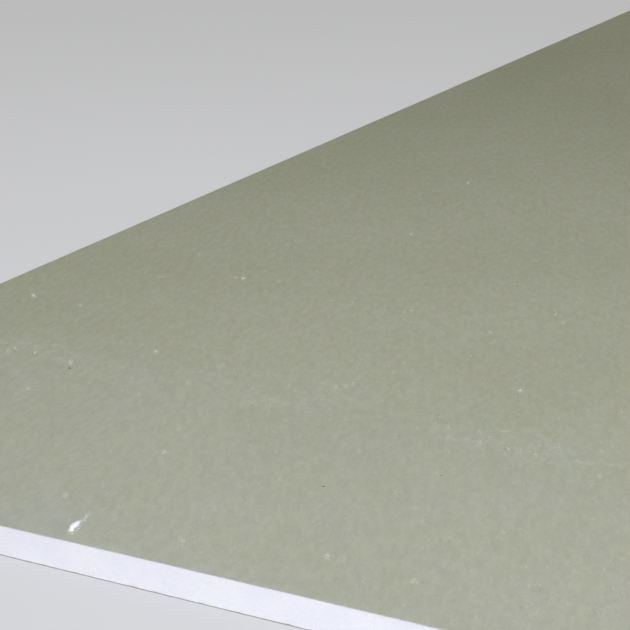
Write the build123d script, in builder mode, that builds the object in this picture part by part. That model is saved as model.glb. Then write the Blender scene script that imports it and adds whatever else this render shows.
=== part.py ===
from build123d import *

import os

# A sheet of drywall, lying face up on its back: a gypsum core bonded between two papers. Millimetres.
# X runs across its width, Y along its length, and Z up, with z = 0 under the back paper.

# The sheet as it is sold
sheet_width = 1219.2  # between the two paper-wrapped long edges
sheet_length = 2438.4  # between the two cut ends
sheet_thickness = 12.7  # over both papers, clear of the tapers

# The tapers, which leave room for joint tape along the long edges
taper_width = 60.0  # from the long edge to where the face is flat
taper_depth = 1.3  # how much lower the face lies at the long edge
taper_blend_radius = 900.0  # the soft start of each taper

# The papers
face_paper_thickness = 0.33
back_paper_thickness = 0.30

# The wrapped long edges: the face paper is folded down, then in under the core
face_crease_radius = 1.5  # outside of the fold at the face
back_crease_radius = 1.1  # outside of the fold at the back
flap_width = 25.0  # of the face paper that lies under the core, from the long edge
back_paper_setback = 9.0  # of the back paper from the long edge, so that it laps over the flap

# Worked out from the sizes above
half_width = sheet_width / 2
half_length = sheet_length / 2
long_edge_top = sheet_thickness - taper_depth
flat_face_end = half_width - taper_width
flap_end = half_width - flap_width

# The sheet's section without its back paper: face, tapers and rounded long edges
with BuildSketch(Plane.XZ) as wrapped_section:
    with BuildLine():
        FilletPolyline(
            (-half_width, back_paper_thickness),
            (half_width, back_paper_thickness),
            (half_width, long_edge_top),
            (flat_face_end, sheet_thickness),
            (-flat_face_end, sheet_thickness),
            (-half_width, long_edge_top),
            radius=[
                back_crease_radius,
                back_crease_radius,
                face_crease_radius,
                taper_blend_radius,
                taper_blend_radius,
                face_crease_radius,
            ],
            close=True,
        )
    make_face()

# The room between the two flaps, where the core comes down to the back paper
with BuildSketch(Plane.XZ) as between_flaps:
    with Locations((0, back_paper_thickness)):
        Rectangle(2 * flap_end, face_paper_thickness, align=(Align.CENTER, Align.MIN))

# Gypsum core: fills the wrap of face paper, with bare cut ends
with BuildPart() as gypsum_core:
    with BuildSketch(Plane.XZ):
        add(wrapped_section.sketch_local)
        offset(amount=-face_paper_thickness)
        add(between_flaps.sketch_local)
    extrude(amount=half_length, both=True)
gypsum_core.part.label = "gypsum_core"

# Face paper: one sheet over the face and tapers, round both long edges and in under the core
with BuildPart() as face_paper:
    with BuildSketch(Plane.XZ):
        add(wrapped_section.sketch_local)
        offset(amount=-face_paper_thickness, mode=Mode.SUBTRACT)
        add(between_flaps.sketch_local, mode=Mode.SUBTRACT)
    extrude(amount=half_length, both=True)
face_paper.part.label = "face_paper"

# Back paper: a flat liner over the core's back, lapped over both flaps
with BuildPart() as back_paper:
    with BuildSketch(Plane.XZ):
        Rectangle(
            2 * (half_width - back_paper_setback),
            back_paper_thickness,
            align=(Align.CENTER, Align.MIN),
        )
    extrude(amount=half_length, both=True)
back_paper.part.label = "back_paper"

os.makedirs("parts", exist_ok=True)
export_step(gypsum_core.part, "parts/gypsum_core.step")
export_step(face_paper.part, "parts/face_paper.step")
export_step(back_paper.part, "parts/back_paper.step")
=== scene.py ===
import math
import random

import bmesh
import bpy
import numpy as np
from mathutils import Matrix, Vector, noise


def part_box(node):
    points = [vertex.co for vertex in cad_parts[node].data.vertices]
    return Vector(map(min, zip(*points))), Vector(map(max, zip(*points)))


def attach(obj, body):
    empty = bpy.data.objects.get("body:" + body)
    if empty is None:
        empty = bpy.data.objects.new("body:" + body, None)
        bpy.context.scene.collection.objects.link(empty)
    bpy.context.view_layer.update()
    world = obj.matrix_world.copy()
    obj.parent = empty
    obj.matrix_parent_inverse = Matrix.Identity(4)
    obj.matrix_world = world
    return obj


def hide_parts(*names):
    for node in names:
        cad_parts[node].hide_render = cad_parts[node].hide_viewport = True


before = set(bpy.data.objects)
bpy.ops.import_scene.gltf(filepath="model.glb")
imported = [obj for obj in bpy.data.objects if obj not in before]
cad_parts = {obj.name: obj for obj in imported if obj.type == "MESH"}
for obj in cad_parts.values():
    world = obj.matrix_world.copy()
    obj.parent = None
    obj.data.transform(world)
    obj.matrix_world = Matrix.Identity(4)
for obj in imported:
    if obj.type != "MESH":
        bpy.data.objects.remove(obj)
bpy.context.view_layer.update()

# Sizes are in metres. X runs across the sheet, Y along it and Z up.
MM = 0.001

# The sheet, as the frame has it
paper_low, paper_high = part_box("face_paper")
core_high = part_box("gypsum_core")[1]
liner_low, liner_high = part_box("back_paper")
half_width, half_length, face_top = paper_high
flap_bottom = paper_low.z
face_paper_thickness = half_width - core_high.x
near_end, far_end = -half_length, half_length

# The section's tapers and folds, which the boxes don't tell
taper_width = 60.0 * MM
taper_depth = 1.3 * MM
taper_blend_radius = 900.0 * MM
face_crease_radius = 1.5 * MM
back_crease_radius = 1.1 * MM
flap_width = 25.0 * MM

flat_face_end = half_width - taper_width
flap_end = half_width - flap_width
taper_slope = taper_depth / taper_width
taper_angle = math.atan(taper_slope)
blend_reach = taper_blend_radius * math.tan(taper_angle / 2)
face_crease_x = half_width - face_crease_radius
face_crease_z = (
    face_top
    - (face_crease_x - flat_face_end) * taper_slope
    - face_crease_radius * math.hypot(1, taper_slope)
)
back_crease_x = half_width - back_crease_radius
back_crease_z = flap_bottom + back_crease_radius

# The camera, from the edges of the sheet in the photograph
photo_side = 630  # pixels
focal_length = 1979.2  # pixels
sensor_width = 36.0  # millimetres
camera_from_corner = Vector((632.23, -533.54, 317.83)) * MM  # from the sheet's near left corner
camera_yaw = math.radians(29.504)  # to the left of +Y
camera_pitch = math.radians(18.259)  # down
camera_roll = math.radians(-1.047)

camera_place = Vector((-half_width, near_end, 0)) + camera_from_corner
view_direction = Vector((
    -math.sin(camera_yaw) * math.cos(camera_pitch),
    math.cos(camera_yaw) * math.cos(camera_pitch),
    -math.sin(camera_pitch),
))
level_right = Vector((math.cos(camera_yaw), math.sin(camera_yaw), 0))
level_up = level_right.cross(view_direction)
view_right = level_right * math.cos(camera_roll) + level_up * math.sin(camera_roll)
view_up = level_up * math.cos(camera_roll) - level_right * math.sin(camera_roll)

# Where the photograph shows the chip on the face, as (pixel x, pixel y)
chip_start_pixel = (69.5, 530.5)
chip_end_pixel = (78.5, 522.5)
chip_tail_pixel = (89.0, 513.0)
chip_haze_pixel = (42.0, 519.0)  # the middle of the fine dust that lies round the chip

# Where it shows flecks, dark flecks and fibres, as (pixel x, pixel y, size in millimetres)
fleck_pixels = [
    (33, 295, 1.9), (70, 362, 1.4), (155, 351, 1.05), (242, 278, 1.45), (278, 281, 0.7),
    (287, 245, 0.6), (199, 254, 0.8), (27, 388, 1.1), (30, 384, 0.65), (35, 352, 0.85),
    (15, 348, 1.0), (108, 296, 0.65), (80, 305, 0.95), (250, 298, 0.45), (146, 370, 0.7),
    (112, 336, 0.9), (146, 271, 0.8), (165, 451, 1.35), (178, 428, 0.95), (11, 441, 0.7),
    (65, 495, 1.1), (182, 541, 1.05), (335, 386, 0.8), (345, 386, 0.9), (353, 383, 0.85),
    (520, 390, 1.05), (621, 411, 0.85), (346, 419, 0.75), (448, 427, 0.95), (447, 436, 0.4),
    (480, 432, 0.9), (479, 442, 1.0), (489, 441, 0.65), (535, 454, 0.85), (543, 458, 0.5),
    (559, 447, 0.55), (581, 462, 0.4), (359, 451, 0.55), (326, 556, 1.15), (344, 560, 0.75),
    (504, 533, 0.5), (413, 581, 0.95), (468, 182, 1.15), (411, 234, 1.3), (490, 332, 1.2),
    (404, 311, 1.0), (411, 310, 0.95), (555, 314, 1.05), (563, 322, 1.0), (624, 500, 0.6),
    (352, 302, 0.75), (188, 382, 0.8), (138, 394, 0.95), (7, 351, 1.0), (141, 344, 0.75),
    (163, 509, 0.5), (508, 448, 0.9), (520, 451, 0.65), (599, 476, 0.8), (601, 450, 0.7),
]
dark_fleck_pixels = [(69, 368, 1.0), (329, 292, 0.7), (323, 486, 0.9), (305, 327, 0.5), (441, 475, 0.6)]
fibre_pixels = [(157, 277, 4.2), (233, 277, 2.5), (500, 431, 4.0), (330, 300, 2.0)]

# How many small things are made at random
flecks_elsewhere = 300  # where the photograph doesn't show the face
dark_flecks_elsewhere = 40
crumb_bits = 6  # beside each fleck elsewhere
powder_bits = 64  # round each fleck that the photograph shows
chip_powder_bits = 420
tail_powder_bits = 150
face_grains = 650
grains_per_end = 130
scuff_grains = 420
face_fibres = 1400
fibres_per_end = 1500
pits_per_end = 300

# Gypsum dust on the face. Grain sizes are the smallest and the largest, in millimetres.
face_grain_sizes = (0.15, 0.45)
end_grain_sizes = (0.15, 0.5)
scuff_grain_sizes = (0.2, 0.8)
largest_unplaced_grain = 0.32 * MM  # of those in the photograph's view, beside the flecks placed above
end_grain_spread = 9 * MM
end_dust_reach = 24 * MM
veil_full, veil_gone = 100 * MM, 240 * MM  # from each end, of the thinnest dust
haze_reach = 28 * MM  # of the fine dust round the chip
scuff_from_end = 161.0 * MM  # of the dusty scuff that runs across the face
scuff_wander = 14 * MM
scuff_reach = 19 * MM
scuff_grain_spread = 8 * MM
scuff_cluster_spacing = 35 * MM

# Relief, as (height, spacing, shift of the seed) of each layer of smooth noise
paper_waves = ((0.05 * MM, 170 * MM, 0), (0.02 * MM, 45 * MM, 6))
ragged_paper = ((0.10 * MM, 2.6 * MM, 30), (0.08 * MM, 11 * MM, 44))
gypsum_grain = ((0.045 * MM, 7 * MM, 5), (0.03 * MM, 2.2 * MM, 11))

# The cut ends, where the papers lift here and there and the gypsum wanders and crumbles
paper_lift = 0.12 * MM
paper_lift_spacing = 16 * MM
paper_lift_reach = 1.6 * MM
cut_depth = 0.25 * MM
cut_wander = 0.10 * MM
cut_wander_spacing = 90 * MM
rim_crumble = 0.4 * MM
rim_crumble_spacing = 5 * MM
rim_crumble_reach = 0.5 * MM
least_cut_depth = 0.02 * MM
core_column_spacing = 0.62 * MM
core_corner_reach = 1.2 * MM
flap_step = 1e-5  # across the step in the core's underside at each flap's end

# The face paper's fibres and its worn folds
fibre_slant = math.radians(24)  # to the sheet's length
fibre_stretch = 2.9  # length of the paper's mottling over its width
long_fibre_thickness = 0.24 * MM  # of those that the photograph shows
face_fibre_thickness = 0.07 * MM
end_fibre_thickness = 0.06 * MM
fold_wear_reach = 2.5 * MM

# Colours, as linear red, green and blue
paper_dark, paper_pale = (0.383, 0.396, 0.276), (0.399, 0.408, 0.292)
paper_cooler, paper_warmer = (0.999, 0.999, 1.045), (1.010, 0.994, 0.995)  # these multiply the others
paper_worn = (0.56, 0.54, 0.45)
hair_dark, hair_pale = (0.17, 0.17, 0.12), (0.66, 0.66, 0.56)
speck_dark, speck_pale = (0.17, 0.16, 0.11), (0.64, 0.65, 0.56)
dust_fine, dust_coarse = (0.42, 0.45, 0.53), (0.66, 0.69, 0.70)
face_ply_dark, face_ply_pale = (0.45, 0.45, 0.37), (0.61, 0.61, 0.54)
back_ply_dark, back_ply_pale = (0.31, 0.28, 0.23), (0.45, 0.42, 0.35)
ply_fibre = (0.68, 0.68, 0.61)
liner_dark, liner_pale = (0.305, 0.262, 0.200), (0.345, 0.305, 0.240)
liner_speck_dark, liner_speck_pale = (0.10, 0.09, 0.07), (0.60, 0.57, 0.50)
gypsum_dark, gypsum_pale = (0.852, 0.850, 0.858), (0.880, 0.878, 0.868)
crumb_dark, crumb_pale = (0.826, 0.850, 0.704), (0.854, 0.878, 0.712)
# painted shade inside the gypsum's air pores, not a colour of the gypsum itself
pore_painted_shade = (0.50, 0.50, 0.48)
loose_fibre_dark, loose_fibre_pale = (0.58, 0.59, 0.49), (0.78, 0.79, 0.71)
bark_dark, bark_pale = (0.055, 0.045, 0.035), (0.13, 0.11, 0.08)
floor_dark, floor_pale = (0.235, 0.235, 0.235), (0.245, 0.245, 0.245)
ambient_colour = (1.0, 1.0, 0.87)
white = (1, 1, 1)

# The room's light
ambient_strength = 0.33
backdrop_strength = 0.449
floor_glow = 0.37
lamp_size = (1.3, 1.0)

# Places on the face

def face_height(x):
    """Height of the face at x: flat, then a soft start, then the straight taper."""
    across = np.abs(x)
    into_blend = np.clip(across - (flat_face_end - blend_reach), 0, 2 * blend_reach)
    in_blend = taper_blend_radius - np.sqrt(taper_blend_radius**2 - into_blend**2)
    on_taper = (across - flat_face_end) * taper_slope
    past_blend = across > flat_face_end + blend_reach * math.cos(taper_angle)
    return face_top - np.where(past_blend, on_taper, in_blend)


def face_point(pixel_x, pixel_y):
    """Where the face shows at a pixel of the photograph. Three rounds settle its height on the taper."""
    middle = (photo_side - 1) / 2
    ray = view_direction + (
        view_right * (pixel_x - middle) - view_up * (pixel_y - middle)
    ) / focal_length
    height = face_top
    for _ in range(3):
        place = camera_place + ray * ((height - camera_place.z) / ray.z)
        height = float(face_height(place.x))
    return place


def on_face(x, y):
    """The point of the face at x and y."""
    return Vector((x, y, float(face_height(x))))


def in_photo(place):
    """True where the photograph shows the face."""
    from_camera = place - camera_place
    ahead = from_camera.dot(view_direction)
    if ahead <= 0:
        return False
    reach = ahead * photo_side / 2 / focal_length
    return abs(from_camera.dot(view_right)) < reach and abs(from_camera.dot(view_up)) < reach


# Random places and sizes

def random_x(chance, share=0.995):
    """A random place across the sheet, within that share of its width."""
    return chance.uniform(-half_width, half_width) * share


def random_y(chance, share=0.998):
    """A random place along the sheet, within that share of its length."""
    return chance.uniform(near_end, far_end) * share


def random_size(smallest, spread, power, chance):
    """A size in metres from smallest to smallest + spread millimetres. A power over 1 makes most small."""
    return (smallest + spread * chance.random() ** power) * MM


def near_on_face(place, pixels, chance):
    """A random point of the face, about as many pixels from place to every side in the photograph."""
    from_camera = place - camera_place
    distance = from_camera.length
    ahead = Vector((from_camera.x, from_camera.y, 0)).normalized()
    across = Vector((-ahead.y, ahead.x, 0))
    spread = pixels * distance / focal_length
    spot = place + across * chance.gauss(0, spread)
    spot += ahead * chance.gauss(0, spread * distance / -from_camera.z)
    return on_face(spot.x, spot.y)


def scattered(count, chance):
    """Random places on the face that the photograph doesn't show."""
    places = []
    while len(places) < count:
        place = on_face(random_x(chance), random_y(chance))
        if not in_photo(place):
            places.append(place)
    return places


# Arrays

def noise_at(x, y, z, size, seed):
    """Smooth noise of about -1 to 1 at each point, whose lumps are about size apart."""
    points = np.stack(np.broadcast_arrays(x, y, z), -1)
    values = [noise.noise(Vector(p)) for p in points.reshape(-1, 3) / size + seed]
    return np.array(values).reshape(points.shape[:-1])


def layered(layers, x, y, z, seed, start=0.0):
    """start with layers of smooth noise on top. A layer is (height, spacing, shift of the seed)."""
    total = start
    for height, spacing, shift in layers:
        total = total + height * noise_at(x, y, z, spacing, seed + shift)
    return total


def spaced(start, end, spacing):
    """Evenly spaced numbers from start to end, both included."""
    return np.linspace(start, end, max(1, round(abs(end - start) / spacing)) + 1)


def arc(centre_x, centre_z, radius, start, end, steps):
    """Points of an arc in the section, without its first, as (x, z). Angles are in degrees."""
    angles = np.radians(np.linspace(start, end, steps + 1)[1:])
    return [(centre_x + radius * math.cos(a), centre_z + radius * math.sin(a)) for a in angles]


def growing(end, first_step, growth, longest_step):
    """Places from one cut end towards the middle, with steps that grow from first_step."""
    places, step = [end], first_step
    inwards = -math.copysign(1, end)
    while abs(places[-1]) > 1.5 * step:
        places.append(places[-1] + inwards * step)
        step = min(step * growth, longest_step)
    return places


def cross_rows(first_step=0.35 * MM, growth=1.35, longest_step=22 * MM):
    """Where a paper's cross rows lie along Y: close together at both cut ends."""
    near = growing(near_end, first_step, growth, longest_step)
    far = growing(far_end, first_step, growth, longest_step)
    return np.array(near + far[::-1])


# Meshes

def new_piece(name, points, faces, materials, smooth_angle=40):
    """A mesh object at the origin that rides with the sheet. smooth_angle is in degrees."""
    mesh = bpy.data.meshes.new(name)
    mesh.from_pydata(np.asarray(points).tolist(), [], faces)
    for material in materials:
        mesh.materials.append(material)
    piece = bpy.data.objects.new(name, mesh)
    bpy.context.collection.objects.link(piece)
    mesh.shade_smooth()
    mesh.set_sharp_from_angle(angle=math.radians(smooth_angle))
    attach(piece, "root")
    return piece


def joined(name, parts, materials):
    """One piece of many small meshes. A part is (place, (points, faces))."""
    points, faces = [], []
    for place, (part_points, part_faces) in parts:
        first = len(points)
        points += [Vector(p) + place for p in part_points]
        faces += [[first + v for v in face] for face in part_faces]
    return new_piece(name, points, faces, materials, smooth_angle=60)


def grid_faces(first, rows, columns, turn=1):
    """Quads of a grid of points that are numbered row by row from first."""
    corner = first + np.arange(rows - 1)[:, None] * columns + np.arange(columns - 1)[None, :]
    quads = np.stack([corner, corner + 1, corner + columns + 1, corner + columns], -1)
    return quads.reshape(-1, 4)[:, ::turn].tolist()


# The papers

def wrap_profile(column_spacing):
    """The face paper's outside in the section, as (x, z), from the left flap over the face to the right."""
    last_x = face_crease_x + face_crease_radius * math.sin(taper_angle)
    across = spaced(0, last_x, column_spacing)
    right = list(zip(across, face_height(across)))
    start = 90 - math.degrees(taper_angle)
    right += arc(face_crease_x, face_crease_z, face_crease_radius, start, 0, steps=7)
    right += [(half_width, z) for z in spaced(face_crease_z, back_crease_z, 2 * MM)[1:]]
    right += arc(back_crease_x, back_crease_z, back_crease_radius, 0, -90, steps=6)
    right += [(x, flap_bottom) for x in spaced(back_crease_x, flap_end, 4 * MM)[1:]]
    left = [(-x, z) for x, z in reversed(right[1:])]
    return np.array(left + right)


def outward(profile):
    """Unit normals of an open profile that runs clockwise over its body."""
    along = np.gradient(profile, axis=0)
    turned = np.stack([-along[:, 1], along[:, 0]], 1)
    return turned / np.linalg.norm(turned, axis=1)[:, None]


def paper_outside(profile, normals, rows, seed):
    """Points of a paper's outside, row by row: a little wavy, with ragged ends that lift here and there."""
    x = np.tile(profile[:, 0], (len(rows), 1))
    y = np.tile(rows[:, None], (1, len(profile)))
    z = np.tile(profile[:, 1], (len(rows), 1))
    rise = layered(paper_waves, x, y, 0, seed)
    from_end = np.minimum(y - near_end, far_end - y)
    lift = paper_lift * np.clip(noise_at(x, y * 0.2, 0, paper_lift_spacing, seed + 18), 0, 1)
    rise += lift * np.exp(-from_end / paper_lift_reach)
    rise *= (1 + normals[:, 1]) / 2
    inwards = np.abs(layered(ragged_paper, x, z, y, seed))
    y[0] += inwards[0]
    y[-1] -= inwards[-1]
    return np.stack([x + normals[:, 0] * rise, y, z + normals[:, 1] * rise], -1)


def paper_cut_faces(rows, columns):
    """Faces of a paper's cut edges. Its outside is numbered first, then the inside's first and last row."""
    first_inside = rows * columns
    faces = []
    for row, inner_row, turn in ((0, 0, 1), (rows - 1, 1, -1)):
        outer, inner = row * columns, first_inside + inner_row * columns
        for c in range(columns - 1):
            faces.append([outer + c, inner + c, inner + c + 1, outer + c + 1][::turn])
    for c, turn in ((0, 1), (columns - 1, -1)):
        long_cut = [row * columns + c for row in range(rows)]
        long_cut += [first_inside + columns + c, first_inside + c]
        faces.append(long_cut[::turn])
    return faces


def paper_piece(name, profile, thickness, materials, seed):
    """A paper whose outside follows profile. Its second material is for its cut edges."""
    normals = outward(profile)
    cross = cross_rows()
    rows, columns = len(cross), len(profile)
    outside = paper_outside(profile, normals, cross, seed)
    inside = outside[[0, -1]]
    inside[..., 0] -= normals[:, 0] * thickness
    inside[..., 2] -= normals[:, 1] * thickness
    points = np.concatenate([outside.reshape(-1, 3), inside.reshape(-1, 3)])
    surface = grid_faces(0, rows, columns) + grid_faces(rows * columns, 2, columns, -1)
    cut = paper_cut_faces(rows, columns)
    piece = new_piece(name, points, surface + cut, materials)
    piece.data.polygons.foreach_set("material_index", [0] * len(surface) + [1] * len(cut))
    return piece


def face_paper_piece(materials):
    """The face paper, wrapped round both long edges."""
    profile = wrap_profile(2.0 * MM)
    piece = paper_piece("face_paper_sheet", profile, face_paper_thickness, materials, 3)
    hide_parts("face_paper")
    return piece


def back_paper_piece(materials):
    """The flat liner under the core. Its outside looks down, so its profile runs from right to left."""
    across = spaced(liner_high.x, liner_low.x, 3.0 * MM)
    profile = np.stack([across, np.full(len(across), liner_low.z)], 1)
    thickness = liner_high.z - liner_low.z
    piece = paper_piece("back_paper_liner", profile, thickness, materials, 61)
    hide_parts("back_paper")
    return piece


# The gypsum core

def core_columns():
    """Where the core's columns lie along X: even, but closer round its corners and just past the flaps."""
    from_side = [(1 - math.sin(math.radians(a))) * core_corner_reach for a in (24, 42, 60, 78)]
    right = [core_high.x - away for away in from_side] + [core_high.x]
    flat_part = core_high.x - core_corner_reach
    middle = spaced(-flat_part, flat_part, core_column_spacing)
    past_flap = flap_end + flap_step
    return np.sort(np.concatenate([middle, right, [-x for x in right], [-past_flap, past_flap]]))


def core_limits(x):
    """Lowest and highest gypsum at each x, inside the wrap of face paper."""
    across = np.abs(x)
    top_radius = face_crease_radius - face_paper_thickness
    bottom_radius = back_crease_radius - face_paper_thickness
    past_top = np.clip(across - face_crease_x, 0, top_radius)
    past_bottom = np.clip(across - back_crease_x, 0, bottom_radius)
    rounded_top = face_crease_z + np.sqrt(top_radius**2 - past_top**2)
    top = np.where(across > face_crease_x, rounded_top, face_height(x) - face_paper_thickness)
    rounded_bottom = back_crease_z - np.sqrt(bottom_radius**2 - past_bottom**2)
    bottom = np.where(across > flap_end, rounded_bottom, liner_high.z)
    return bottom, top


def add_pits(depth, x, z, chance):
    """Deepens a cut end by round air pits at random places."""
    columns = x[0]
    for _ in range(pits_per_end):
        pit_x = chance.uniform(columns[0], columns[-1])
        pit_z = chance.uniform(liner_high.z, face_top)
        radius = random_size(0.4, 0.5, 3, chance)
        first, past = np.searchsorted(columns, (pit_x - radius, pit_x + radius))
        span = np.s_[:, first:past]
        away = np.hypot(x[span] - pit_x, z[span] - pit_z) / radius
        depth[span] += 0.25 * radius * np.clip(1 - away**2, 0, 1)


def end_depth(x, z, bottom, top, seed):
    """How far the gypsum lies inside the cut end: the cut's wander, grain, crumbled rims and air pits."""
    depth = cut_depth + cut_wander * noise_at(x, 0 * z, 0, cut_wander_spacing, seed)
    depth = layered(gypsum_grain, x, z, 0, seed, depth)
    from_rim = np.minimum(z - bottom, top - z)
    crumbled = np.clip(noise_at(x, 0.3 * z, 0, rim_crumble_spacing, seed + 17), 0, 1)
    depth += rim_crumble * crumbled * np.exp(-from_rim / rim_crumble_reach)
    add_pits(depth, x, z, random.Random(seed))
    return np.maximum(depth, least_cut_depth)


def core_side_faces(rows, columns):
    """Faces between the two cut ends' rims: the core's top and bottom, then its two sides."""
    far = rows * columns
    faces = []
    for row, turn in ((rows - 1, 1), (0, -1)):
        for c in range(row * columns, row * columns + columns - 1):
            faces.append([c, c + 1, far + c + 1, far + c][::turn])
    for column, turn in ((0, 1), (columns - 1, -1)):
        for c in range(column, column + (rows - 1) * columns, columns):
            faces.append([far + c, c, c + columns, far + c + columns][::turn])
    return faces


def gypsum_core_piece(materials):
    """The gypsum core: two rough cut ends, joined by plain sides that the papers cover."""
    across = core_columns()
    bottom, top = core_limits(across)
    rows, columns = 20, len(across)
    x = np.tile(across, (rows, 1))
    z = bottom + (top - bottom) * np.linspace(0, 1, rows)[:, None]
    near = np.stack([x, near_end + end_depth(x, z, bottom, top, 100), z], -1)
    far = np.stack([x, far_end - end_depth(x, z, bottom, top, 200), z], -1)
    points = np.concatenate([near.reshape(-1, 3), far.reshape(-1, 3)])
    faces = grid_faces(0, rows, columns) + grid_faces(rows * columns, rows, columns, -1)
    faces += core_side_faces(rows, columns)
    piece = new_piece("gypsum_core_cut", points, faces, materials, smooth_angle=50)
    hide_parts("gypsum_core")
    return piece


# Crumbs, grains and flecks on the face

def lump(size, detail, chance, stretch=None, heading=0.0, rough=1.0):
    """Points and faces of a rough crumb that sits on z = 0, about size across. heading is in radians."""
    underside, raised = -0.12, 0.1  # shares of size
    ball = bmesh.new()
    bmesh.ops.create_icosphere(ball, subdivisions=detail, radius=0.5)
    shift = Vector((chance.uniform(0, 99), chance.uniform(0, 99), chance.uniform(0, 99)))
    if stretch is None:
        stretch = Vector((chance.uniform(0.7, 1.1), chance.uniform(0.6, 1.0), chance.uniform(0.3, 0.5)))
        heading = chance.uniform(0, math.tau)
    turn = Matrix.Rotation(heading, 3, "Z")
    points = []
    for vertex in ball.verts:
        swell = 0.45 * noise.noise(vertex.co * 3 + shift) + 0.2 * noise.noise(vertex.co * 8 + shift)
        place = turn @ (vertex.co * (1 + rough * swell) * stretch)
        points.append((place.x * size, place.y * size, max(place.z, underside) * size + raised * size))
    faces = [[v.index for v in face.verts] for face in ball.faces]
    ball.free()
    return points, faces


def crumb(place, size, chance):
    """A crumb with the smaller bits that broke off it, about size across together."""
    whole, strewn, smallest_bit, largest_bit = 0.75, 0.4, 0.12, 0.30  # shares of size
    parts = [(place, lump(whole * size, 2, chance))]
    for _ in range(crumb_bits):
        aside = Vector((chance.gauss(0, strewn), chance.gauss(0, strewn), 0)) * size
        parts.append((place + aside, lump(chance.uniform(smallest_bit, largest_bit) * size, 1, chance)))
    return parts


def powdered_crumb(place, size, chance):
    """A crumb partly gone to powder, which lies round it: more of it gone the nearer to the near end."""
    from_end = place.y - near_end
    least_whole, whole_per_metre, most_whole = 0.15, 1.2, 0.42  # shares of size
    widest, narrower_per_metre, narrowest = 1.9, 2.2, 0.85  # pixels
    left_whole = min(least_whole + whole_per_metre * from_end, most_whole)
    reach = max(widest - narrower_per_metre * from_end, narrowest)
    parts = [(place, lump(left_whole * size, 2, chance))]
    for _ in range(powder_bits):
        bit = lump(chance.uniform(0.11, 0.25) * size, 1, chance)
        parts.append((near_on_face(place, reach, chance), bit))
    return parts


def white_flecks_piece(materials):
    """Crumbs of gypsum on the face: the ones that the photograph shows, and sparser ones elsewhere."""
    chance = random.Random(5)
    parts = []
    for px, py, size in fleck_pixels:
        parts += powdered_crumb(face_point(px, py), size * MM, chance)
    for place in scattered(flecks_elsewhere, chance):
        parts += crumb(place, random_size(0.35, 1.2, 3, chance), chance)
    return joined("gypsum_flecks", parts, materials)


def grains_piece(materials):
    """Grains of gypsum dust: sparse everywhere, thicker near the cut ends and in clusters on the scuff."""
    chance = random.Random(37)
    spots = [(random_y(chance, 1.0), face_grain_sizes) for _ in range(face_grains)]
    for end, inwards in ((near_end, 1), (far_end, -1)):
        for _ in range(grains_per_end):
            spots.append((end + inwards * abs(chance.gauss(0, end_grain_spread)), end_grain_sizes))
    for _ in range(scuff_grains):
        spots.append((near_end + scuff_from_end + chance.gauss(0, scuff_grain_spread), scuff_grain_sizes))
    parts = []
    for y, sizes in spots:
        x = random_x(chance)
        between_clusters = noise.noise(Vector((x / scuff_cluster_spacing, 7, 0))) < 0.02
        if sizes == scuff_grain_sizes and between_clusters:
            continue
        place = on_face(x, y)
        smallest, largest = sizes
        size = random_size(smallest, largest - smallest, 2, chance)
        if in_photo(place):
            size = min(size, largest_unplaced_grain)
        parts.append((place, lump(size, 1, chance)))
    return joined("gypsum_dust_grains", parts, materials)


def powder(count, start, end, stretch, sizes, pixels, chance):
    """Bits of powder, strewn about pixels wide over a stretch of the line from start to end.

    stretch is in shares of the line, and sizes are in millimetres.
    """
    parts = []
    for _ in range(count):
        middle = start.lerp(end, chance.uniform(*stretch))
        bit = lump(chance.uniform(*sizes) * MM, 1, chance)
        parts.append((near_on_face(middle, pixels, chance), bit))
    return parts


def chip_piece(materials):
    """The chip of gypsum near the cut end, with the powder round it and the powder of its tail."""
    chance = random.Random(11)
    start, end, tail = (face_point(*p) for p in (chip_start_pixel, chip_end_pixel, chip_tail_pixel))
    along = end - start
    heading = math.atan2(along.y, along.x)
    flake_shape = Vector((0.9, 0.32, 0.16))  # length, width and height, as shares of the chip's length
    flake = lump(along.length, 5, chance, flake_shape, heading, rough=0.55)
    broken_off = lump(2.0 * MM, 4, chance)
    parts = [(start.lerp(end, 0.5), flake), (start.lerp(end, 0.15), broken_off)]
    parts += powder(chip_powder_bits, start, end, (-0.05, 0.95), (0.12, 0.40), 2.0, chance)
    parts += powder(tail_powder_bits, end, tail, (0.0, 1.1), (0.12, 0.28), 1.6, chance)
    return joined("gypsum_chip", parts, materials)


def dark_flecks_piece(materials):
    """Dark bits in the paper's surface."""
    chance = random.Random(17)
    parts = [(face_point(px, py), lump(size * MM, 2, chance)) for px, py, size in dark_fleck_pixels]
    for place in scattered(dark_flecks_elsewhere, chance):
        parts.append((place, lump(chance.uniform(0.3, 0.8) * MM, 2, chance)))
    return joined("dark_flecks", parts, materials)


# Fibres of the face paper

def fibre(length, thickness, heading, rise, chance, bend=0.35):
    """A thin bent hair that starts at the origin. heading, rise and bend are in radians."""
    steps, sides = 5, 3
    narrowing, levelling = 0.8, 0.6
    points, faces = [], []
    place = Vector((0, 0, 0))
    for step in range(steps + 1):
        across = Vector((-math.sin(heading), math.cos(heading), 0))
        radius = thickness / 2 * (1 - narrowing * step / steps)
        for side in range(sides):
            angle = math.tau * side / sides
            offset = across * math.cos(angle) + Vector((0, 0, math.sin(angle)))
            points.append(place + offset * radius)
        ahead = Vector((math.cos(heading), math.sin(heading), math.tan(rise)))
        place = place + ahead * (length / steps)
        heading += chance.uniform(-bend, bend)
        rise *= levelling
    for step in range(steps):
        for side in range(sides):
            a, b = step * sides + side, step * sides + (side + 1) % sides
            faces.append([a, b, b + sides, a + sides])
    tip = steps * sides
    faces += [[2, 1, 0], [tip, tip + 1, tip + 2]]
    return points, faces


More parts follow.
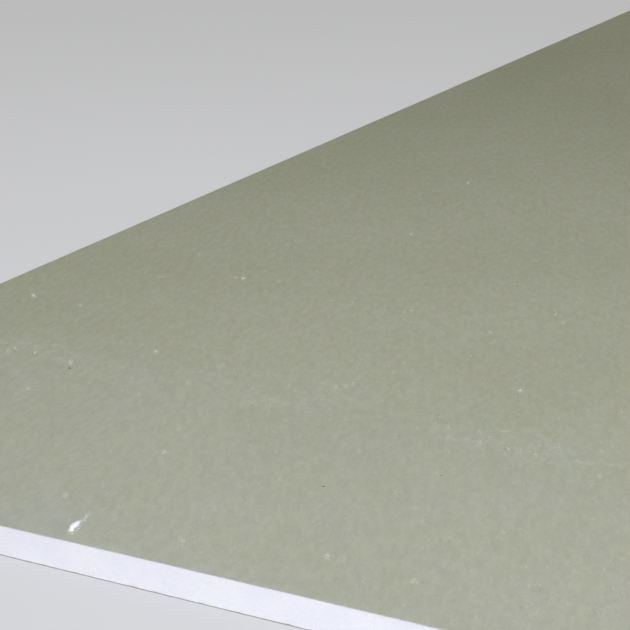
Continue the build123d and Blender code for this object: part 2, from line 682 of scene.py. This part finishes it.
def loose_fibres_piece(materials):
    """Paper hairs that stand a little off the face."""
    chance = random.Random(23)
    parts = []
    for px, py, length in fibre_pixels:
        heading = camera_yaw + chance.uniform(-0.1, 0.1)
        hair = fibre(length * MM, long_fibre_thickness, heading, 0.05, chance, bend=0.12)
        parts.append((face_point(px, py), hair))
    for _ in range(face_fibres):
        place = on_face(random_x(chance, 0.99), random_y(chance, 0.999))
        length = chance.uniform(0.6, 2.0) * MM
        heading = chance.uniform(0, math.tau)
        rise = chance.uniform(0.05, 0.5)
        parts.append((place, fibre(length, face_fibre_thickness, heading, rise, chance)))
    return joined("loose_paper_fibres", parts, materials)


def cut_end_fibres_piece(materials):
    """Torn fibres of the face paper along both cut ends."""
    chance = random.Random(29)
    parts = []
    for end, outwards in ((near_end, -math.pi / 2), (far_end, math.pi / 2)):
        root_y = end - math.copysign(0.15 * MM, end)
        for _ in range(fibres_per_end):
            x = random_x(chance, 0.996)
            root_depth = chance.uniform(0.02, 0.28) * MM
            place = Vector((x, root_y, float(face_height(x)) - root_depth))
            heading = outwards + chance.gauss(0, 0.9)
            length = chance.uniform(0.25, 0.9) * MM
            rise = chance.uniform(-0.5, 0.6)
            parts.append((place, fibre(length, end_fibre_thickness, heading, rise, chance)))
    return joined("cut_end_fibres", parts, materials)


# Materials

class Material:
    """A node material. An input is a number, a colour, a vector or another node's output."""

    def __init__(self, name):
        """An empty material that knows the place on the object."""
        self.material = bpy.data.materials.new(name)
        self.material.use_nodes = True
        self.nodes = self.material.node_tree.nodes
        self.links = self.material.node_tree.links
        self.nodes.clear()
        self.place = self.add("ShaderNodeTexCoord", {}, "Object")

    def add(self, kind, inputs, output=0, **settings):
        """One output of a new node with these inputs and settings."""
        node = self.nodes.new(kind)
        for name, value in settings.items():
            setattr(node, name, value)
        for socket, value in inputs.items():
            if isinstance(value, bpy.types.NodeSocket):
                self.links.new(value, node.inputs[socket])
            else:
                node.inputs[socket].default_value = value
        return node.outputs[output]

    def math(self, operation, a, b=0.0):
        """A sum, a difference or another calculation with a and b."""
        return self.add("ShaderNodeMath", {0: a, 1: b}, operation=operation)

    def product(self, *factors):
        """All the factors, multiplied."""
        result = factors[0]
        for factor in factors[1:]:
            result = self.math("MULTIPLY", result, factor)
        return result

    def ramp(self, value, low, high, to_low=0.0, to_high=1.0):
        """value from low to high, smoothly, as to_low to to_high."""
        inputs = {0: value, 1: low, 2: high, 3: to_low, 4: to_high}
        return self.add("ShaderNodeMapRange", inputs, interpolation_type="SMOOTHSTEP")

    def axis(self, name):
        """The place along X, Y or Z."""
        return self.add("ShaderNodeSeparateXYZ", {0: self.place}, name)

    def scaled(self, x, y, z=1.0):
        """The place, in units of 1/x, 1/y and 1/z metres."""
        inputs = {0: self.place, 1: (x, y, z)}
        return self.add("ShaderNodeVectorMath", inputs, operation="MULTIPLY")

    def shifted(self, place, seed):
        """place moved by seed along every axis, for a pattern of its own."""
        return self.add("ShaderNodeVectorMath", {0: place, 1: (seed, seed, seed)}, operation="ADD")

    def along_fibres(self, slant, stretch):
        """The place in millimetres, stretched along fibres at slant radians to the sheet's length."""
        inputs = {"Vector": self.place, "Angle": -slant}
        turned = self.add("ShaderNodeVectorRotate", inputs, rotation_type="Z_AXIS")
        scale = (1 / MM, 1 / MM / stretch, 1 / MM)
        return self.add("ShaderNodeVectorMath", {0: turned, 1: scale}, operation="MULTIPLY")

    def noise(self, place, scale, detail=2.0, roughness=0.5):
        """Cloudy noise from 0 to 1, with about scale lumps to each unit of place."""
        inputs = {"Vector": place, "Scale": scale, "Detail": detail, "Roughness": roughness}
        return self.add("ShaderNodeTexNoise", inputs)

    def cells(self, place, scale, output="Distance"):
        """Distance from the middle of the nearest cell, with about scale cells to each unit of place."""
        return self.add("ShaderNodeTexVoronoi", {"Vector": place, "Scale": scale}, output)

    def specks(self, place, spacing, largest, share, seed):
        """1 in the middle of sparse specks, 0 elsewhere. That share of the cells, spacing apart, have one."""
        distance = self.cells(self.shifted(place, seed), 1 / spacing)
        drawn = self.add("ShaderNodeSeparateXYZ", {0: distance.node.outputs["Color"]})
        chosen = self.math("LESS_THAN", drawn, share)
        return self.product(chosen, self.ramp(distance, 0.0, largest / 2 / spacing, 1.0, 0.0))

    def hairs(self, place, size, seed):
        """1 along thin winding hairs, broken here and there and about size apart, 0 elsewhere."""
        moved = self.shifted(place, seed)
        lines = self.noise(moved, 1 / size, 1.0)
        from_line = self.math("ABSOLUTE", self.math("SUBTRACT", lines, 0.5))
        unbroken = self.ramp(self.noise(moved, 0.8 / size), 0.50, 0.60)
        return self.product(self.ramp(from_line, 0.0, 0.04, 1.0, 0.0), unbroken)

    def mix(self, factor, a, b, blend_type="MIX"):
        """Colour a where factor is 0 and b where it is 1, or a blended with b in another way."""
        colours = {0: factor, 6: (*a, 1) if isinstance(a, tuple) else a}
        colours[7] = (*b, 1) if isinstance(b, tuple) else b
        return self.add("ShaderNodeMix", colours, 2, data_type="RGBA", blend_type=blend_type)

    def times(self, colour, other):
        """colour multiplied by another colour or by a number."""
        return self.mix(1.0, colour, other, "MULTIPLY")

    def marked(self, colour, mark_colour, strength, where):
        """colour, with mark_colour over it at that strength where the marks are."""
        return self.mix(self.product(where, strength), colour, mark_colour)

    def finish(self, colour, roughness, height, relief, specular=0.3):
        """Gives the surface its colour, roughness and bumps that are relief metres high."""
        normal = self.add("ShaderNodeBump", {"Height": height, "Strength": 1.0, "Distance": relief})
        inputs = {"Base Color": colour, "Roughness": roughness, "Normal": normal}
        inputs["Specular IOR Level"] = specular
        shader = self.add("ShaderNodeBsdfPrincipled", inputs)
        output = self.nodes.new("ShaderNodeOutputMaterial")
        self.links.new(shader, output.inputs["Surface"])
        return self.material


def chip_haze(m):
    """How thick the finest dust lies on the face round the chip."""
    inputs = {0: m.place, 1: face_point(*chip_haze_pixel)}
    from_middle = m.add("ShaderNodeVectorMath", inputs, "Value", operation="DISTANCE")
    return m.ramp(from_middle, 0.0, haze_reach, 0.11, 0.0)


def scuff_dust(m):
    """How thick gypsum dust lies on the scuff: clusters of film and grains along a wandering line."""
    wander = m.ramp(m.noise(m.scaled(7, 0, 0), 1.0), 0.3, 0.7, -scuff_wander, scuff_wander)
    scuff_y = m.math("ADD", near_end + scuff_from_end, wander)
    from_scuff = m.math("ABSOLUTE", m.math("SUBTRACT", m.axis("Y"), scuff_y))
    clusters = m.ramp(m.noise(m.scaled(22, 34), 1.0, 2.0), 0.36, 0.68)
    film = m.ramp(m.noise(m.scaled(160, 160), 1.0, 3.0), 0.35, 0.75, 0.0, 0.30)
    grains = m.specks(m.scaled(1000, 1000, 1000), spacing=2.4, largest=1.9, share=0.45, seed=31.0)
    thickness = m.math("ADD", m.product(film, clusters), m.product(grains, clusters, 0.9))
    return m.product(thickness, m.ramp(from_scuff, 0.0, scuff_reach, 0.6, 0.0))


def gypsum_dust(m):
    """How thick gypsum dust lies on the face: towards both cut ends and along the scuff."""
    from_end = m.math("SUBTRACT", half_length, m.math("ABSOLUTE", m.axis("Y")))
    patches = m.ramp(m.noise(m.scaled(28, 60), 1.0, 3.0), 0.40, 0.75)
    at_ends = m.product(m.ramp(from_end, 0.0, end_dust_reach, 0.16, 0.0), patches)
    veil = m.ramp(from_end, veil_full, veil_gone, 0.065, 0.0)
    return m.math("ADD", veil, m.math("MAXIMUM", at_ends, scuff_dust(m)))


def paper_tint(m, in_mm):
    """The face paper's grey-green, faintly clouded, and cooler or warmer in patches."""
    clouds = m.ramp(m.noise(m.place, 8.0), 0.32, 0.68)
    colour = m.mix(clouds, paper_dark, paper_pale)
    cool = m.ramp(m.noise(in_mm, 1 / 9), 0.32, 0.68)
    colour = m.mix(cool, colour, m.times(colour, paper_cooler))
    warm = m.ramp(m.noise(m.shifted(in_mm, 17.0), 1 / 12), 0.32, 0.68)
    return m.mix(warm, colour, m.times(colour, paper_warmer))


def fold_wear(m):
    """Where the face paper is worn: in bits along the folds of both long edges."""
    from_middle = m.math("ABSOLUTE", m.axis("X"))
    at_fold = m.ramp(from_middle, half_width - fold_wear_reach, half_width - 0.2 * MM)
    return m.product(at_fold, m.ramp(m.noise(m.scaled(150, 45, 150), 1.0, 3.0), 0.40, 0.68))


def face_paper_material():
    """Grey-green face paper: faintly clouded, with short fibres, specks, gypsum dust and worn folds."""
    m = Material("face paper")
    in_mm = m.along_fibres(fibre_slant, fibre_stretch)
    formation = m.noise(in_mm, 1 / 3, 3.0, 0.6)
    felt = m.noise(in_mm, 1 / 0.6, 3.0, 0.65)
    coarse_mottle = m.ramp(formation, 0.3, 0.7, 0.943, 1.057)
    fine_mottle = m.ramp(felt, 0.3, 0.7, -0.025, 0.025)
    colour = m.times(paper_tint(m, in_mm), m.math("ADD", coarse_mottle, fine_mottle))
    pale_hairs = m.hairs(in_mm, size=2.4, seed=41.0)
    colour = m.marked(colour, hair_pale, 0.18, pale_hairs)
    colour = m.marked(colour, hair_dark, 0.13, m.hairs(in_mm, size=2.8, seed=53.0))
    pale_specks = m.specks(in_mm, spacing=4.5, largest=1.3, share=0.6, seed=3.0)
    colour = m.marked(colour, speck_pale, 0.34, pale_specks)
    dark_specks = m.specks(in_mm, spacing=6.0, largest=1.1, share=0.4, seed=7.0)
    colour = m.marked(colour, speck_dark, 0.34, dark_specks)
    colour = m.marked(colour, paper_worn, 0.4, fold_wear(m))
    colour = m.mix(chip_haze(m), colour, dust_fine)
    colour = m.mix(gypsum_dust(m), colour, dust_coarse)
    relief = m.math("ADD", m.product(formation, 0.4), m.product(felt, 0.3))
    relief = m.math("ADD", relief, m.product(pale_hairs, 0.3))
    return m.finish(colour, m.ramp(formation, 0.3, 0.7, 0.82, 0.92), relief, 0.03 * MM)


def cut_paper_material(name, dark, pale):
    """The cut edge of a paper: plies from dark to pale, with paler fibres."""
    m = Material(name)
    plies = m.noise(m.scaled(500, 500, 9000), 1.0, 2.0)
    colour = m.mix(m.ramp(plies, 0.35, 0.65), dark, pale)
    fibres = m.noise(m.scaled(4200, 1500, 4200), 1.0, 2.0)
    colour = m.mix(m.ramp(fibres, 0.55, 0.80, 0.0, 0.6), colour, ply_fibre)
    return m.finish(colour, 0.95, m.math("ADD", plies, fibres), 0.04 * MM, 0.15)


def back_paper_material():
    """Grey-brown back liner of coarser recycled fibre: cloudy, streaked along its length and flecked."""
    m = Material("back paper")
    clouds = m.ramp(m.noise(m.place, 14.0, 3.0), 0.32, 0.68)
    colour = m.mix(clouds, liner_dark, liner_pale)
    streaks = m.noise(m.scaled(900, 45, 900), 1.0, 3.0)
    fibres = m.noise(m.scaled(2000, 380, 2000), 1.0, 2.0)
    streak_mottle = m.ramp(streaks, 0.3, 0.7, 0.92, 1.08)
    fibre_mottle = m.ramp(fibres, 0.3, 0.7, -0.07, 0.07)
    colour = m.times(colour, m.math("ADD", streak_mottle, fibre_mottle))
    pale_specks = m.specks(m.scaled(1000, 500, 1000), spacing=2.4, largest=1.1, share=0.45, seed=13.0)
    colour = m.marked(colour, liner_speck_pale, 0.55, pale_specks)
    dark_specks = m.specks(m.scaled(1000, 600, 1000), spacing=2.9, largest=1.0, share=0.45, seed=19.0)
    colour = m.marked(colour, liner_speck_dark, 0.6, dark_specks)
    relief = m.math("ADD", m.product(streaks, 0.5), m.product(fibres, 0.5))
    return m.finish(colour, m.ramp(streaks, 0.3, 0.7, 0.84, 0.95), relief, 0.05 * MM)


def gypsum_material(name, dark, pale):
    """Bare gypsum: chalky, with fine grain and pores that are greyed with painted shade, and faint patches
    from dark to pale.
    """
    m = Material(name)
    patches = m.ramp(m.noise(m.place, 45.0, 2.0), 0.35, 0.65)
    colour = m.mix(patches, dark, pale)
    grain = m.noise(m.place, 1500.0, 3.0, 0.6)
    colour = m.times(colour, m.ramp(grain, 0.3, 0.7, 0.965, 1.02))
    pores = m.specks(m.scaled(1000, 1000, 1000), spacing=1.1, largest=0.45, share=0.5, seed=5.0)
    # The pores are dented by the bump and greyed with painted shade.
    colour = m.marked(colour, pore_painted_shade, 0.30, pores)
    relief = m.math("SUBTRACT", grain, m.product(pores, 0.8))
    return m.finish(colour, m.ramp(grain, 0.3, 0.7, 0.88, 0.98), relief, 0.04 * MM, 0.2)


def fibre_material():
    """Loose paper hairs, paler than the face and varied from one to the next."""
    m = Material("paper fibre")
    colour = m.mix(m.ramp(m.noise(m.place, 90.0), 0.3, 0.7), loose_fibre_dark, loose_fibre_pale)
    strands = m.noise(m.scaled(9000, 9000, 9000), 1.0, 2.0)
    return m.finish(colour, 0.85, strands, 0.01 * MM)


def dark_fleck_material():
    """Dark bits of bark and ink left in recycled paper."""
    m = Material("dark fleck")
    colour = m.mix(m.ramp(m.noise(m.place, 2600.0, 2.0), 0.35, 0.65), bark_dark, bark_pale)
    return m.finish(colour, 0.7, m.noise(m.place, 3800.0, 2.0), 0.03 * MM)


# The room

def shader_mix(nodes, links, strength, first, second):
    """The first shader where strength is 0, and the second where it is 1."""
    mixed = nodes.new("ShaderNodeMixShader")
    links.new(strength, mixed.inputs[0])
    links.new(first.outputs[0], mixed.inputs[1])
    links.new(second.outputs[0], mixed.inputs[2])
    return mixed


def floor_material():
    """Plain pale floor: it takes the light and shadows, and shows the camera a little more than that."""
    m = Material("floor")
    clouds = m.ramp(m.noise(m.place, 3.0), 0.3, 0.7)
    colour = m.mix(clouds, floor_dark, floor_pale)
    diffuse = m.add("ShaderNodeBsdfDiffuse", {"Color": colour, "Roughness": 0.6})
    seen = m.product(m.add("ShaderNodeLightPath", {}, "Is Camera Ray"), floor_glow)
    glow = m.add("ShaderNodeEmission", {"Color": (*white, 1), "Strength": seen})
    both = m.add("ShaderNodeAddShader", {0: diffuse, 1: glow})
    output = m.nodes.new("ShaderNodeOutputMaterial")
    m.links.new(both, output.inputs["Surface"])
    return m.material


def make_floor():
    """A wide level floor, just under the back paper so that the two don't coincide."""
    reach, below = 40.0, 0.05 * MM
    sides = ((-1, -1), (1, -1), (1, 1), (-1, 1))
    corners = [(reach * across, reach * along, -below) for across, along in sides]
    mesh = bpy.data.meshes.new("floor")
    mesh.from_pydata(corners, [], [[0, 1, 2, 3]])
    mesh.materials.append(floor_material())
    floor = bpy.data.objects.new("floor", mesh)
    bpy.context.collection.objects.link(floor)


def background(nodes, colour, strength):
    """Light of one colour and strength from all round."""
    light = nodes.new("ShaderNodeBackground")
    light.inputs["Color"].default_value = (*colour, 1)
    light.inputs["Strength"].default_value = strength
    return light


def make_world():
    """Even light from all round, and a pale backdrop that only the camera and reflections show."""
    world = bpy.data.worlds.new("world")
    bpy.context.scene.world = world
    world.use_nodes = True
    nodes, links = world.node_tree.nodes, world.node_tree.links
    nodes.clear()
    mixed = background(nodes, ambient_colour, ambient_strength)
    backdrop = background(nodes, white, backdrop_strength)
    path = nodes.new("ShaderNodeLightPath")
    for ray in ("Is Camera Ray", "Is Glossy Ray", "Is Transmission Ray"):
        mixed = shader_mix(nodes, links, path.outputs[ray], mixed, backdrop)
    output = nodes.new("ShaderNodeOutputWorld")
    links.new(mixed.outputs[0], output.inputs["Surface"])


def make_lamp(name, place, target, spread, watts, colour):
    """A soft area lamp that points from place to target. spread is in degrees."""
    lamp = bpy.data.lights.new(name, "AREA")
    lamp.shape = "RECTANGLE"
    lamp.size, lamp.size_y = lamp_size
    lamp.spread = math.radians(spread)
    lamp.energy = watts
    lamp.color = colour
    holder = bpy.data.objects.new(name, lamp)
    holder.location = place
    holder.rotation_euler = (Vector(target) - Vector(place)).to_track_quat("-Z", "Y").to_euler()
    holder.visible_camera = False
    bpy.context.collection.objects.link(holder)


def make_lamps():
    """A narrow bluish lamp in front of the near end, and a wide one over the far half of the sheet."""
    make_lamp(
        "key", place=(0.83, near_end - 1.06, 0.90), target=(-0.12, near_end - 0.06, 0),
        spread=42, watts=5.35, colour=(0.97, 0.985, 1.16),
    )
    make_lamp(
        "fill", place=(0.00, 0.36, 1.37), target=(0.59, 1.01, 0),
        spread=122, watts=8.0, colour=(1.0, 1.0, 0.98),
    )


def make_camera():
    """The photograph's camera."""
    camera = bpy.data.cameras.new("camera")
    camera.sensor_fit = "HORIZONTAL"
    camera.sensor_width = sensor_width
    camera.lens = focal_length / photo_side * sensor_width
    camera.clip_start, camera.clip_end = 0.02, 200.0
    holder = bpy.data.objects.new("camera", camera)
    turned = Matrix((view_right, view_up, -view_direction)).transposed().to_4x4()
    holder.matrix_world = Matrix.Translation(camera_place) @ turned
    bpy.context.collection.objects.link(holder)
    bpy.context.scene.camera = holder


make_camera()
make_world()
make_floor()
make_lamps()
bpy.context.scene.view_settings.view_transform = "Standard"

gypsum = gypsum_material("gypsum", gypsum_dark, gypsum_pale)
crumbs = gypsum_material("gypsum crumbs", crumb_dark, crumb_pale)
face_cut = cut_paper_material("cut face paper", face_ply_dark, face_ply_pale)
back_cut = cut_paper_material("cut back paper", back_ply_dark, back_ply_pale)
loose_fibre = fibre_material()
gypsum_core_piece([gypsum])
face_paper_piece([face_paper_material(), face_cut])
back_paper_piece([back_paper_material(), back_cut])
chip_piece([gypsum])
grains_piece([crumbs])
white_flecks_piece([crumbs])
dark_flecks_piece([dark_fleck_material()])
loose_fibres_piece([loose_fibre])
cut_end_fibres_piece([loose_fibre])
